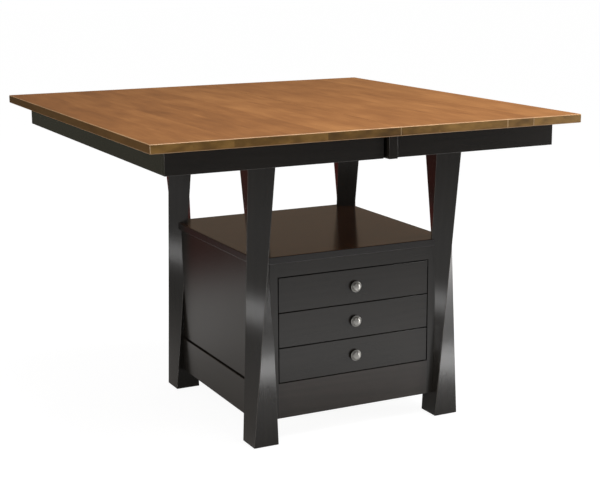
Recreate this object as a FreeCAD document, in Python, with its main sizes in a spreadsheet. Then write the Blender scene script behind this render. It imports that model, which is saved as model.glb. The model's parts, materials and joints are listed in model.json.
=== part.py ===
import FreeCAD, Part
import os
import re
import Sketcher

# Cabinet table of counter height, in millimetres.
# The nearly square top is split across its length: its two halves slide apart on wooden slides.
# It stands on four twisted square legs with a three-drawer cabinet between them.
# The origin is on the floor under the middle of the closed top, +X runs along the front edge from
# left to right, +Y from the drawers to the back and +Z up.

SIZES = {
    # Top: two glued-up halves of unequal length, pinned together at the seam
    "table_height": 914,
    "left_half_length": 668,
    "right_half_length": 562,
    "top_depth": 1272,
    "top_thickness": 23.5,
    "arris_radius": 2.5,
    "seam_gap": 0.6,
    "pin_diameter": 9.5,
    "pin_reach": 14,
    "pin_bury": 22,
    "pin_clearance": 0.3,
    "pin_tip": 2,
    # Aprons under each half, and the blocks that close the seam between them
    "apron_inset": 54,
    "apron_height": 63,
    "apron_thickness": 20,
    "apron_seam_gap": 10,
    "seam_block_width": 25,
    "seam_block_lead": 9,
    "seam_block_proud": 11,
    "seam_block_drop": 1,
    "seam_block_top_gap": 0.5,
    "corner_block_leg": 55,
    "corner_block_height": 45,
    # Base: twisted legs and the frame that joins their heads
    "base_shift": 104,
    "base_side": 662,
    "foot_size": 76,
    "head_size": 87,
    "glide_diameter": 32,
    "glide_height": 3,
    "rail_height": 52,
    "rail_thickness": 24,
    # Wooden slides: a fixed core between two runners that are tongued into it
    "slide_offset": 205,
    "core_width": 30,
    "core_height": 44,
    "core_top_gap": 4.5,
    "runner_width": 26,
    "runner_floor_gap": 3,
    "runner_inset": 15,
    "runner_overrun": 210,
    "runner_relief": 1.5,
    "tongue_depth": 8,
    "tongue_neck": 10,
    "tongue_flare": 3,
    "slide_clearance": 0.4,
    # Locks that hold the closed halves together
    "lock_inset": 142,
    "lock_pivot": 45,
    "keeper_reach": 15,
    "lock_plate_side": 40,
    "lock_plate_thickness": 2.5,
    "lock_post": 8,
    "lock_head": 15,
    "lock_gap": 0.3,
    "lever_width": 20,
    "lever_thickness": 4,
    "lever_tail": 14,
    "lever_peg": 9,
    "lever_peg_height": 14,
    "keeper_side": 24,
    "keeper_pin": 7,
    "keeper_clearance": 0.6,
    # Cabinet between the legs
    "cabinet_height": 534,
    "board_inset": 23.5,
    "cabinet_board_thickness": 21,
    "board_arris": 2,
    "board_overhang": 3.5,
    "panel_recess": 4,
    "panel_thickness": 12,
    "frame_stock": 19,
    "rail_lift": 68,
    "wall_rail_lift": 62,
    "side_rail_top": 166,
    "groove_width": 5,
    "groove_depth": 6,
    "stile_width": 62.5,
    "top_rail_height": 39.9,
    "floor_drop": 25,
    "cleat_height": 40,
    # Drawers, their boxes and their steel slides
    "drawer_bottom_line": 171,
    "drawer_gap": 3,
    "front_thickness": 19,
    "box_lift": 10,
    "box_headroom": 11.7,
    "back_space": 73,
    "box_stock": 12,
    "bottom_thickness": 6,
    "bottom_lift": 12,
    "bottom_groove": 5,
    "socket_depth": 13,
    "tail_spacing": 12.5,
    "tail_flare": 2.5,
    "slide_width": 12.7,
    "slide_height": 45,
    "slide_steel": 1.2,
    "slide_play": 0.3,
    "slide_lip_gap": 1.4,
    "slide_step": 1.9,
    # Knobs
    "knob_foot_diameter": 18,
    "knob_foot_height": 1.5,
    "knob_neck_diameter": 12,
    "knob_neck_height": 4,
    "knob_rim_diameter": 32,
    "knob_rim_height": 3,
    "knob_dome_diameter": 28,
    "knob_dome_height": 8.5,
    # How far a cutter reaches past the face that it cuts
    "overrun": 2,
}

DRAWERS = ("bottom", "middle", "top")
TAIL_ROWS = 3

# Planes and lengths that several pieces share, each worked out from the sizes above
PLACES = {
    "top_end": "(left_half_length + right_half_length) / 2",
    "seam_x": "(left_half_length - right_half_length) / 2",
    "top_under": "table_height - top_thickness",
    "apron_low": "top_under - apron_height",
    "apron_end": "top_end - apron_inset",
    "apron_side": "top_depth / 2 - apron_inset",
    "seam_block_left": "seam_x - seam_block_lead",
    "seam_block_right": "seam_x + seam_block_width - seam_block_lead",
    "frame_top": "top_under - core_top_gap - core_height",
    "frame_low": "frame_top - rail_height",
    "leg_reach": "(base_side - foot_size) / 2",
    "slide_mid": "frame_top + core_height / 2",
    "lock_offset": "apron_side - apron_thickness - lock_inset",
    "lock_x": "seam_x + lock_pivot",
    "keeper_x": "seam_x - keeper_reach",
    "lock_throw": "(lock_pivot + keeper_reach)",
    "lock_plate_low": "top_under - lock_plate_thickness",
    "lever_high": "lock_plate_low - lock_gap",
    "lever_low": "lever_high - lever_thickness",
    "board_half": "base_side / 2 - board_inset",
    "board_low": "cabinet_height - cabinet_board_thickness",
    "cabinet_face": "board_half - board_overhang",
    "frame_inside": "cabinet_face - frame_stock",
    "panel_face": "cabinet_face - panel_recess",
    "panel_inside": "panel_face - panel_thickness",
    "floor_low": "drawer_bottom_line - floor_drop",
    "bay_half": "cabinet_face - stile_width",
    "box_half": "bay_half - slide_width",
    "box_front": "front_thickness - cabinet_face",
    "box_end": "panel_inside - back_space",
    "drawer_top_line": "board_low - top_rail_height",
    "drawer_pitch": f"(drawer_top_line - drawer_bottom_line) / {len(DRAWERS)}",
    "box_height": "drawer_pitch - drawer_gap - box_lift - box_headroom",
    "tail_neck": f"box_height / {TAIL_ROWS} - tail_spacing",
    "slide_lip": "slide_width - slide_step - 2 * slide_steel - slide_lip_gap",
}

LEG_SECTION_SHARES = (0, 0.25, 0.5, 0.75, 1)    # of a leg's height, from foot to head
PIN_SHARES = (-0.8, -0.35, 0.35, 0.8)           # of half the top's depth
FRONT_TAIL_SHARES = [(row + 0.5) / TAIL_ROWS for row in range(TAIL_ROWS)]    # of a drawer box's height
BACK_TAIL_SHARES = FRONT_TAIL_SHARES[1:]
HANDS = {"left": -1, "right": 1}
SIDES = {"front": -1, "back": 1}

ALONG_X = FreeCAD.Rotation(FreeCAD.Vector(0, 1, 0), 90)
UPWARD = FreeCAD.Rotation()
TO_FRONT = FreeCAD.Rotation(FreeCAD.Vector(1, 0, 0), 90)

doc = FreeCAD.newDocument("CabinetTable")
sheet = doc.addObject("Spreadsheet::Sheet", "Sizes")
for row, (alias, value) in enumerate(SIZES.items(), 1):
    sheet.set(f"A{row}", alias)
    sheet.set(f"B{row}", str(value))
    sheet.setAlias(f"B{row}", alias)
doc.recompute()

nodes = {}


def tied(formula):
    """The formula with its shared places opened up and its sizes read from the sheet."""
    def swap(match):
        word = match.group()
        if word in PLACES:
            return f"({tied(PLACES[word])})"
        return f"Sizes.{word}" if word in SIZES else word
    return re.sub(r"[a-z][a-z0-9_]*", swap, formula)


def span(side, near, far, centre="0"):
    """The stretch from near to far of a centre, on its positive or negative side."""
    if side > 0:
        return f"{centre} + ({near})", f"{centre} + ({far})"
    return f"{centre} - ({far})", f"{centre} - ({near})"


def about(centre, half):
    """The stretch that reaches half to each side of a centre."""
    return f"{centre} - ({half})", f"{centre} + ({half})"


def place(piece, x="0", y="0", z="0"):
    """Tie the piece's place to formulas."""
    for axis, formula in zip("xyz", (x, y, z)):
        piece.setExpression(f"Placement.Base.{axis}", tied(formula))


def board(name, x, y, z):
    """A straight board between two planes on each axis."""
    piece = doc.addObject("Part::Box", name)
    for edge, (low, high) in zip(("Length", "Width", "Height"), (x, y, z)):
        piece.setExpression(edge, tied(f"{high} - ({low})"))
    place(piece, x[0], y[0], z[0])
    return piece


def rod(name, turn, radius, length, x, y, z):
    """A round rod from a point, along the way that the turn gives."""
    piece = doc.addObject("Part::Cylinder", name)
    piece.Placement.Rotation = turn
    piece.setExpression("Radius", tied(radius))
    piece.setExpression("Height", tied(length))
    place(piece, x, y, z)
    return piece


def cone(name, turn, start, end, length, x, y, z):
    """A tapered rod from one radius to another."""
    piece = doc.addObject("Part::Cone", name)
    piece.Placement.Rotation = turn
    piece.setExpression("Radius1", tied(start))
    piece.setExpression("Radius2", tied(end))
    piece.setExpression("Height", tied(length))
    place(piece, x, y, z)
    return piece


def padded_profile(name, plane, points, length, **where):
    """A body with one closed profile of straight lines, given as formulas, drawn out straight."""
    body = doc.addObject("PartDesign::Body", name)
    sketch = body.newObject("Sketcher::SketchObject", f"{name}_profile")
    support = next(item for item in body.Origin.OriginFeatures if item.Role == plane)
    sketch.AttachmentSupport = [(support, "")]
    sketch.MapMode = "FlatFace"
    corners = [FreeCAD.Vector(index, index * index, 0) for index in range(len(points))]
    for start, end in zip(corners, corners[1:] + corners[:1]):
        sketch.addGeometry(Part.LineSegment(start, end), False)
    for index, (across, up) in enumerate(points):
        sketch.addConstraint(Sketcher.Constraint("Coincident", index, 2, (index + 1) % len(points), 1))
        for kind, formula in (("DistanceX", across), ("DistanceY", up)):
            number = sketch.addConstraint(Sketcher.Constraint(kind, -1, 1, index, 1, 1.0))
            sketch.setExpression(f"Constraints[{number}]", tied(formula))
    pad = body.newObject("PartDesign::Pad", f"{name}_pad")
    pad.Profile = sketch
    pad.setExpression("Length", tied(length))
    place(body, **where)
    doc.recompute()
    return body


def ease(body, radius, skipped=None):
    """Round the body's edges, apart from those that lie in the plane x = skipped."""
    pad = body.Tip
    flat = 1e-6
    names = []
    for number, edge in enumerate(pad.Shape.Edges, 1):
        box = edge.BoundBox
        if skipped is None or max(abs(box.XMin - skipped), abs(box.XMax - skipped)) > flat:
            names.append(f"Edge{number}")
    fillet = body.newObject("PartDesign::Fillet", f"{body.Name}_arris")
    fillet.Base = (pad, names)
    fillet.setExpression("Radius", tied(radius))
    doc.recompute()
    return body


def slab(name, x, y, thickness, low):
    """A flat board whose edges can be eased."""
    corners = [(x[0], y[0]), (x[1], y[0]), (x[1], y[1]), (x[0], y[1])]
    return padded_profile(name, "XY_Plane", corners, thickness, z=low)


def cut(name, piece, *tools):
    """The piece less its tools."""
    result = doc.addObject("Part::Cut", name)
    result.Base = piece
    result.Tool = tools[0] if len(tools) == 1 else group(f"{name}_tools", tools)
    return result


def join(name, pieces):
    """One solid of pieces that meet."""
    result = doc.addObject("Part::MultiFuse", name)
    result.Shapes = list(pieces)
    result.Refine = True
    return result


def group(name, pieces):
    """Separate solids held as one object."""
    result = doc.addObject("Part::Compound", name)
    result.Links = list(pieces)
    return result


def keep(name, piece, solids=1):
    """Keep the piece as a node of the part, with the number of solids that it must have."""
    piece.Label = name
    nodes[name] = (piece, solids)
    return piece


def half_top(hand):
    """One half of the top: a glued-up panel with eased edges and a row of pin holes at the seam."""
    side = HANDS[hand]
    seam_edge = f"seam_x + {side} * seam_gap / 2"
    x = (("-top_end", seam_edge), (seam_edge, "top_end"))[side > 0]
    panel = slab(f"top_{hand}_panel", x, about("0", "top_depth / 2"), "top_thickness", "top_under")
    box = panel.Tip.Shape.BoundBox
    ease(panel, "arris_radius", skipped=(box.XMax, box.XMin)[side > 0])
    holes = []
    for number, share in enumerate(PIN_SHARES):
        where = {"y": f"{share} * top_depth / 2", "z": "top_under + top_thickness / 2"}
        name = f"pin_hole_{hand}_{number}"
        if hand == "left":
            deep = "pin_reach + pin_clearance + overrun"
            holes.append(rod(name, ALONG_X, "pin_diameter / 2 + pin_clearance", deep,
                             x="seam_x - pin_reach - pin_clearance", **where))
        else:
            holes.append(rod(name, ALONG_X, "pin_diameter / 2", "pin_bury + overrun",
                             x=f"{seam_edge} - overrun", **where))
    keep(f"top_{hand}", cut(f"top_{hand}_board", panel, *holes))


def table_pins():
    """Wooden pins glued into the right half, which find their holes in the left one."""
    pins = []
    for number, share in enumerate(PIN_SHARES):
        where = {"y": f"{share} * top_depth / 2", "z": "top_under + top_thickness / 2"}
        tip = "seam_x + seam_gap / 2 - pin_reach"
        shank = rod(f"pin_shank_{number}", ALONG_X, "pin_diameter / 2", "pin_reach + pin_bury - pin_tip",
                    x=f"{tip} + pin_tip", **where)
        point = cone(f"pin_tip_{number}", ALONG_X, "pin_diameter / 2 - pin_tip", "pin_diameter / 2",
                     "pin_tip", x=tip, **where)
        pins.append(join(f"pin_{number}", (shank, point)))
    keep("table_pins", group("pins", pins), len(PIN_SHARES))


def aprons(hand):
    """The three aprons under one half, glued to it and to each other, with blocks in the corners."""
    side = HANDS[hand]
    z = ("apron_low", "top_under")
    inside = "apron_side - apron_thickness"
    keep(f"apron_end_{hand}", board(f"end_{hand}", span(side, "apron_end - apron_thickness", "apron_end"),
                                    about("0", inside), z))
    x = (("-apron_end", "seam_block_left - apron_seam_gap"), ("seam_block_right", "apron_end"))[side > 0]
    blocks = []
    for long_side, sign in SIDES.items():
        y = span(sign, inside, "apron_side")
        keep(f"apron_{long_side}_{hand}", board(f"{long_side}_{hand}", x, y, z))
        corner_x = f"{side} * (apron_end - apron_thickness)"
        corner_y = f"{sign} * ({inside})"
        triangle = [(corner_x, corner_y),
                    (f"{corner_x} - {side} * corner_block_leg", corner_y),
                    (corner_x, f"{corner_y} - {sign} * corner_block_leg")]
        blocks.append(padded_profile(f"corner_{long_side}_{hand}", "XY_Plane", triangle,
                                     "corner_block_height", z="top_under - corner_block_height"))
    keep(f"corner_blocks_{hand}", group(f"corners_{hand}", blocks), len(blocks))


def seam_blocks():
    """The proud block on the right aprons' ends, front and back, that closes the seam."""
    for long_side, sign in SIDES.items():
        block = slab(f"block_{long_side}", ("seam_block_left", "seam_block_right"),
                     span(sign, "apron_side - apron_thickness", "apron_side + seam_block_proud"),
                     "apron_height + seam_block_drop - seam_block_top_gap", "apron_low - seam_block_drop")
        keep(f"seam_block_{long_side}", block)


def core(long_side):
    """The fixed middle stick of a slide, grooved like a dovetail on both faces."""
    centre = f"{SIDES[long_side]} * slide_offset"
    mouth = "(tongue_neck / 2 + slide_clearance)"
    bottom = "(tongue_neck / 2 + tongue_flare + slide_clearance)"
    low, high = "frame_top", "frame_top + core_height"
    right = [(f"{centre} + core_width / 2", low),
             (f"{centre} + core_width / 2", f"slide_mid - {mouth}"),
             (f"{centre} + core_width / 2 - tongue_depth", f"slide_mid - {bottom}"),
             (f"{centre} + core_width / 2 - tongue_depth", f"slide_mid + {bottom}"),
             (f"{centre} + core_width / 2", f"slide_mid + {mouth}"),
             (f"{centre} + core_width / 2", high)]
    left = [(f"{centre} - core_width / 2", high),
            (f"{centre} - core_width / 2", f"slide_mid + {mouth}"),
            (f"{centre} - core_width / 2 + tongue_depth", f"slide_mid + {bottom}"),
            (f"{centre} - core_width / 2 + tongue_depth", f"slide_mid - {bottom}"),
            (f"{centre} - core_width / 2", f"slide_mid - {mouth}"),
            (f"{centre} - core_width / 2", low)]
    return padded_profile(f"core_{long_side}", "YZ_Plane", right + left, "2 * leg_reach + rail_thickness",
                          x="base_shift - leg_reach - rail_thickness / 2")


def runner(hand, long_side):
    """A stick under one half of the top whose tongue runs in the core's groove."""
    side, sign = HANDS[hand], SIDES[long_side]
    lane = -side * sign
    face = f"({sign} * slide_offset + {lane} * (core_width / 2 + slide_clearance))"
    back = f"{face} + {lane} * runner_width"
    tip = f"{face} - {lane} * tongue_depth"
    low, high = "frame_top + runner_floor_gap", "top_under"
    outline = [(face, low), (back, low), (back, high), (face, high),
               (face, "slide_mid + tongue_neck / 2"),
               (tip, "slide_mid + tongue_neck / 2 + tongue_flare"),
               (tip, "slide_mid - tongue_neck / 2 - tongue_flare"),
               (face, "slide_mid - tongue_neck / 2")]
    outer_end = "(apron_end - apron_thickness - runner_inset)"
    if hand == "left":
        start, length = f"-{outer_end}", f"{outer_end} + seam_x + runner_overrun"
        relief_x = ("seam_x - seam_gap / 2", "seam_x + runner_overrun + overrun")
    else:
        start, length = "seam_x - runner_overrun", f"{outer_end} - seam_x + runner_overrun"
        relief_x = ("seam_x - runner_overrun - overrun", "seam_x + seam_gap / 2")
    stick = padded_profile(f"stick_{hand}_{long_side}", "YZ_Plane", outline, length, x=start)
    relief = board(f"relief_{hand}_{long_side}", relief_x, about(face, "runner_width + overrun"),
                   ("top_under - runner_relief", "top_under + overrun"))
    return cut(f"runner_{hand}_{long_side}", stick, relief)


def wooden_slides():
    """The two slide sets that carry the halves of the top."""
    keep("slide_cores", group("cores", [core(long_side) for long_side in SIDES]), len(SIDES))
    for hand in HANDS:
        pair = [runner(hand, long_side) for long_side in SIDES]
        keep(f"slide_runners_{hand}", group(f"runners_{hand}", pair), len(pair))


def lock_lever(long_side):
    """A flat lever that turns about its post until its arc slot holds the keeper's pin.

    It rests unlocked, pointing from its post towards the apron.
    """
    sign = SIDES[long_side]
    y = f"{sign} * lock_offset"
    name = f"lever_{long_side}"
    z = ("lever_low", "lever_high")
    whole = ("lever_thickness + 2 * overrun", "lock_x", y, "lever_low - overrun")
    bar = join(f"{name}_bar", (
        board(f"{name}_shank", about("lock_x", "lever_width / 2"),
              span(sign, "0", "lock_throw + lever_tail", y), z),
        rod(f"{name}_eye", UPWARD, "lever_width / 2", "lever_thickness", "lock_x", y, "lever_low"),
        rod(f"{name}_peg", UPWARD, "lever_peg / 2", "lever_peg_height + lever_thickness", "lock_x",
            f"{y} + {sign} * lock_throw / 2", "lever_low - lever_peg_height")))
    hole = rod(f"{name}_hole", UPWARD, "lock_post / 2 + lock_gap", *whole)
    slot_half = "keeper_pin / 2 + keeper_clearance"
    ring = cut(f"{name}_ring", rod(f"{name}_ring_outside", UPWARD, f"lock_throw + {slot_half}", *whole),
               rod(f"{name}_ring_inside", UPWARD, f"lock_throw - ({slot_half})", *whole))
    leading = board(f"{name}_leading", ("lock_x - lever_width", f"lock_x + {slot_half}"),
                    span(sign, "0", "lock_throw + lever_tail + overrun", y),
                    ("lever_low - overrun", "lever_high + overrun"))
    slot = doc.addObject("Part::Common", f"{name}_slot")
    slot.Base, slot.Tool = ring, leading
    keep(f"lock_lever_{long_side}", cut(name, bar, hole, slot))


def locks():
    """A lock near each end of the seam: post and lever on the right half, keeper on the left."""
    plates, keepers = [], []
    plate_z = ("lock_plate_low", "top_under")
    for long_side, sign in SIDES.items():
        y = f"{sign} * lock_offset"
        lock_lever(long_side)
        half_plate = "lock_plate_side / 2"
        post_length = "lever_thickness + 2 * lock_gap + lock_plate_thickness"
        plates.append(join(f"lock_plate_{long_side}", (
            board(f"plate_{long_side}", about("lock_x", half_plate), about(y, half_plate), plate_z),
            rod(f"post_{long_side}", UPWARD, "lock_post / 2", post_length,
                "lock_x", y, "lever_low - lock_gap"),
            rod(f"post_head_{long_side}", UPWARD, "lock_head / 2", "lock_plate_thickness",
                "lock_x", y, "lever_low - lock_gap - lock_plate_thickness"))))
        keepers.append(join(f"keeper_{long_side}", (
            board(f"keeper_plate_{long_side}", about("keeper_x", "keeper_side / 2"),
                  about(y, "keeper_side / 2"), plate_z),
            rod(f"keeper_pin_{long_side}", UPWARD, "keeper_pin / 2", "top_under - lever_low",
                "keeper_x", y, "lever_low"))))
    keep("lock_plates", group("lock_plate_pair", plates), len(plates))
    keep("lock_keepers", group("keeper_pair", keepers), len(keepers))


def leg(name, x, y):
    """A square leg that turns a quarter of a circle up to the top's underside, cut off at the frame.

    Each of its four edges is a straight line from a corner of the foot to the next corner of the head,
    so the section between them is a turned and smaller square.
    """
    sections = []
    for number, share in enumerate(LEG_SECTION_SHARES):
        height = f"(glide_height + {share} * (frame_top - glide_height))"
        foot_part = f"(foot_size * (1 - {height} / (top_under)))"
        head_part = f"(head_size * {height} / (top_under))"
        square = doc.addObject("Part::RegularPolygon", f"{name}_section_{number}")
        square.Polygon = 4
        square.Placement.Rotation = FreeCAD.Rotation(FreeCAD.Vector(0, 0, 1), 45)
        square.setExpression("Circumradius", tied(f"sqrt({foot_part} ^ 2 + {head_part} ^ 2) / sqrt(2)"))
        square.setExpression("Placement.Rotation.Angle", tied(f"45 deg + atan2({head_part}; {foot_part})"))
        place(square, x, y, height)
        sections.append(square)
    twisted = doc.addObject("Part::Loft", name)
    twisted.Sections = sections
    twisted.Solid = True
    return twisted


def legs_and_glides():
    """Four legs that all turn the same way, each on a round glide."""
    legs, glides = [], []
    for long_side, sign in SIDES.items():
        for hand, side in HANDS.items():
            x, y = f"base_shift + {side} * leg_reach", f"{sign} * leg_reach"
            legs.append(keep(f"leg_{long_side}_{hand}", leg(f"leg_{long_side}_{hand}", x, y)))
            glides.append(rod(f"glide_{long_side}_{hand}", UPWARD, "glide_diameter / 2", "glide_height",
                              x, y, "0"))
    keep("floor_glides", group("glides", glides), len(glides))
    return group("legs", legs)


def frame_rails(legs):
    """The rails between the heads of the legs, each end shaped to its twisted leg."""
    z = ("frame_low", "frame_top")
    thick = ("leg_reach - rail_thickness / 2", "leg_reach + rail_thickness / 2")
    for long_side, sign in SIDES.items():
        rail = board(f"rail_{long_side}", about("base_shift", "leg_reach"), span(sign, *thick), z)
        keep(f"frame_rail_{long_side}", cut(f"{rail.Name}_shaped", rail, legs))
    ends = []
    for hand, side in HANDS.items():
        rail = board(f"rail_{hand}", span(side, *thick, "base_shift"), about("0", "leg_reach"), z)
        ends.append(cut(f"{rail.Name}_shaped", rail, legs))
    keep("frame_end_rails", group("end_rails", ends), len(ends))


def cabinet_wall(wall, across, legs):
    """A recessed panel over a proud bottom rail, with a shadow groove between them."""
    rail = board(f"{wall}_rail", *across("frame_inside", "cabinet_face"), ("wall_rail_lift", "side_rail_top"))
    panel = board(f"{wall}_panel", *across("panel_inside", "panel_face"), ("side_rail_top", "board_low"))
    groove = board(f"{wall}_groove", *across("panel_face - groove_depth", "panel_face + overrun"),
                   ("side_rail_top - overrun", "side_rail_top + groove_width"))
    grooved = cut(f"{wall}_panel_grooved", panel, groove)
    keep(f"bottom_rail_{wall}", cut(f"{wall}_rail_shaped", rail, legs))
    keep(f"cabinet_{wall}_panel", cut(f"{wall}_panel_shaped", grooved, legs))


def cabinet(legs):
    """The case between the legs, shaped round each of them."""
    top = slab("cabinet_board", about("base_shift", "board_half"), about("0", "board_half"),
               "cabinet_board_thickness", "board_low")
    keep("cabinet_top", cut("cabinet_top_shaped", ease(top, "board_arris"), legs))
    floor = board("floor_board", about("base_shift", "frame_inside"), about("0", "frame_inside"),
                  ("floor_low", "floor_low + panel_thickness"))
    keep("cabinet_floor", cut("floor_shaped", floor, legs))
    for hand, side in HANDS.items():
        cabinet_wall(hand, lambda near, far, side=side: (span(side, near, far, "base_shift"),
                                                         about("0", "leg_reach")), legs)
    cabinet_wall("back", lambda near, far: (about("base_shift", "leg_reach"), span(1, near, far)), legs)
    y = span(-1, "frame_inside", "cabinet_face")
    for hand, side in HANDS.items():
        stile = board(f"{hand}_stile", span(side, "bay_half", "leg_reach", "base_shift"), y,
                      ("rail_lift", "board_low"))
        keep(f"face_stile_{hand}", cut(f"{hand}_stile_shaped", stile, legs))
    x = about("base_shift", "bay_half")
    keep("face_top_rail", board("top_rail", x, y, ("drawer_top_line + drawer_gap / 2", "board_low")))
    keep("face_bottom_rail", board("bottom_rail", x, y, ("rail_lift", "drawer_bottom_line - drawer_gap / 2")))


def channel(name, side, web, opens, half_height, y, mid):
    """A folded steel channel that opens from its web towards the drawer (-1) or away from it (1)."""
    def stretch(start, end):
        near, far = ((end, start), (start, end))[opens > 0]
        return span(side, near, far, "base_shift")
    floor = f"{web} + {opens} * slide_steel"
    lip = f"{floor} + {opens} * slide_lip"
    shell = board(f"{name}_shell", stretch(web, lip), y, about(mid, half_height))
    hollow = board(f"{name}_hollow", stretch(floor, f"{lip} + {opens} * overrun"),
                   (f"{y[0]} - overrun", f"{y[1]} + overrun"), about(mid, f"{half_height} - slide_steel"))
    return cut(name, shell, hollow)


def drawer_slides(drawer, mid):
    """A pair of three-part steel slides: fixed channel, carriage and drawer channel."""
    y = ("box_front", "box_end")
    members = {"outer": ("bay_half", -1, "slide_height / 2"),
               "carriage": ("bay_half - slide_step", -1, "(slide_height / 2 - slide_steel - slide_play)"),
               "inner": ("box_half", 1, "(slide_height / 2 - 2 * slide_steel - 2 * slide_play)")}
    pairs = {}
    for member, (web, opens, half) in members.items():
        pairs[member] = [channel(f"slide_{member}_{drawer}_{hand}", side, web, opens, half, y, mid)
                         for hand, side in HANDS.items()]
    keep(f"{drawer}_slide_carriages", group(f"{drawer}_carriages", pairs["carriage"]), len(HANDS))
    keep(f"{drawer}_drawer_channels", group(f"{drawer}_channels", pairs["inner"]), len(HANDS))
    return pairs["outer"]


def dovetail(name, x, z, root, tip):
    """One tail that widens from its root to its tip, along Y."""
    tail = doc.addObject("Part::Wedge", name)
    neck, wide = about(z, "tail_neck / 2"), about(z, "tail_neck / 2 + tail_flare")
    low, high = ((tip, wide), (root, neck)) if name.endswith("front") else ((root, neck), (tip, wide))
    formulas = {"Xmin": x[0], "Xmax": x[1], "X2min": x[0], "X2max": x[1], "Ymin": low[0], "Ymax": high[0],
                "Zmin": low[1][0], "Zmax": low[1][1], "Z2min": high[1][0], "Z2max": high[1][1]}
    for key, formula in formulas.items():
        tail.setExpression(key, tied(formula))
    return tail


def drawer_box(drawer, line):
    """Sides dovetailed into the front and through the back, with a bottom let into their grooves."""
    low = f"({line} + drawer_gap / 2 + box_lift)"
    z = (low, f"{low} + box_height")
    x = about("base_shift", "box_half")
    bottom = board(f"{drawer}_bottom", about("base_shift", "box_half - box_stock + bottom_groove"),
                   ("box_front - bottom_groove", "box_end"),
                   (f"{low} + bottom_lift", f"{low} + bottom_lift + bottom_thickness"))
    back_board = board(f"{drawer}_back", x, ("box_end - box_stock", "box_end"),
                       (f"{low} + bottom_lift + bottom_thickness", z[1]))
    sides, tails = [], {"front": [], "back": []}
    for hand, side in HANDS.items():
        thick = span(side, "box_half - box_stock", "box_half", "base_shift")
        for end, (root, tip, shares) in {
                "front": ("box_front", "box_front - socket_depth", FRONT_TAIL_SHARES),
                "back": ("box_end - box_stock", "box_end", BACK_TAIL_SHARES)}.items():
            for number, share in enumerate(shares):
                tails[end].append(dovetail(f"{drawer}_tail_{hand}_{number}_{end}", thick,
                                           f"({low} + {share} * box_height)", root, tip))
    back = cut(f"{drawer}_back_shaped", back_board, *tails["back"])
    for hand, side in HANDS.items():
        thick = span(side, "box_half - box_stock", "box_half", "base_shift")
        straight = board(f"{drawer}_side_{hand}", thick, ("box_front", "box_end"), z)
        own_tails = [tail for tail in tails["front"] if f"_{hand}_" in tail.Name]
        tailed = join(f"{drawer}_side_{hand}_tailed", [straight] + own_tails)
        sides.append(cut(f"{drawer}_side_{hand}_shaped", tailed, back, bottom))
    sides.append(back)
    keep(f"{drawer}_drawer_box", group(f"{drawer}_box", sides), len(sides))
    keep(f"{drawer}_drawer_bottom", bottom)
    front = board(f"{drawer}_front", about("base_shift", "bay_half - drawer_gap"),
                  ("-cabinet_face", "box_front"),
                  (f"{line} + drawer_gap / 2", f"{line} + drawer_pitch - drawer_gap / 2"))
    keep(f"{drawer}_drawer_front", cut(f"{drawer}_front_shaped", front,
                                       group(f"{drawer}_sockets", tails["front"] + [bottom])))


def knob(drawer, line):
    """A turned knob: foot, neck, rim and a dome that stands inside the rim."""
    z = f"{line} + drawer_pitch / 2"
    where = {"x": "base_shift", "z": z}
    neck_start = "knob_foot_height"
    rim_start = f"{neck_start} + knob_neck_height"
    dome_start = f"{rim_start} + knob_rim_height"
    name = f"{drawer}_knob"
    foot = rod(f"{name}_foot", TO_FRONT, "knob_foot_diameter / 2", "knob_foot_height",
               y="-cabinet_face", **where)
    neck = cone(f"{name}_neck", TO_FRONT, "knob_neck_diameter / 2", "knob_foot_diameter / 2",
                "knob_neck_height", y=f"-cabinet_face - ({neck_start})", **where)
    rim = rod(f"{name}_rim", TO_FRONT, "knob_rim_diameter / 2", "knob_rim_height",
              y=f"-cabinet_face - ({rim_start})", **where)
    dome_radius = "((knob_dome_diameter ^ 2 / 4 + knob_dome_height ^ 2) / (2 * knob_dome_height))"
    dome = doc.addObject("Part::Sphere", f"{name}_dome")
    dome.Placement.Rotation = TO_FRONT
    dome.setExpression("Radius", tied(dome_radius))
    dome.setExpression("Angle1", tied(f"asin(1 - knob_dome_height / {dome_radius})"))
    place(dome, where["x"], f"-cabinet_face - ({dome_start}) - knob_dome_height + {dome_radius}", where["z"])
    keep(f"{drawer}_knob", join(f"{name}_turned", (foot, neck, rim, dome)))


def drawers(legs):
    """Three drawers on steel slides, which cleats carry inside the cabinet's sides."""
    outers, cleats = [], []
    for number, drawer in enumerate(DRAWERS):
        line = f"(drawer_bottom_line + {number} * drawer_pitch)"
        mid = f"({line} + drawer_gap / 2 + box_lift + box_height / 2)"
        drawer_box(drawer, line)
        knob(drawer, line)
        outers += drawer_slides(drawer, mid)
        for hand, side in HANDS.items():
            cleat = board(f"{drawer}_cleat_{hand}", span(side, "bay_half", "panel_inside", "base_shift"),
                          ("box_front", "box_end"), about(mid, "cleat_height / 2"))
            cleats.append(cut(f"{drawer}_cleat_{hand}_shaped", cleat, legs))
    keep("drawer_slide_outers", group("slide_outers", outers), len(outers))
    keep("drawer_cleats", group("cleats", cleats), len(cleats))


def check_and_write():
    """Stop at any failed object or piece, then write each piece to its own file."""
    doc.recompute()
    for item in doc.Objects:
        if {"Invalid", "Error"} & set(item.State):
            raise RuntimeError(f"{item.Name} failed: {item.State}")
    for name, (piece, solids) in nodes.items():
        shape = piece.Shape
        if shape.isNull() or not shape.isValid():
            raise RuntimeError(f"{name} has no valid shape")
        if len(shape.Solids) != solids:
            raise RuntimeError(f"{name} has {len(shape.Solids)} solids, not {solids}")
    os.makedirs("parts", exist_ok=True)
    for name, (piece, _) in nodes.items():
        piece.Shape.exportStep(f"parts/{name}.step")
    print(len(nodes), "pieces written")


for hand in HANDS:
    half_top(hand)
    aprons(hand)
table_pins()
seam_blocks()
wooden_slides()
locks()
all_legs = legs_and_glides()
frame_rails(all_legs)
cabinet(all_legs)
drawers(all_legs)
check_and_write()
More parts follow.
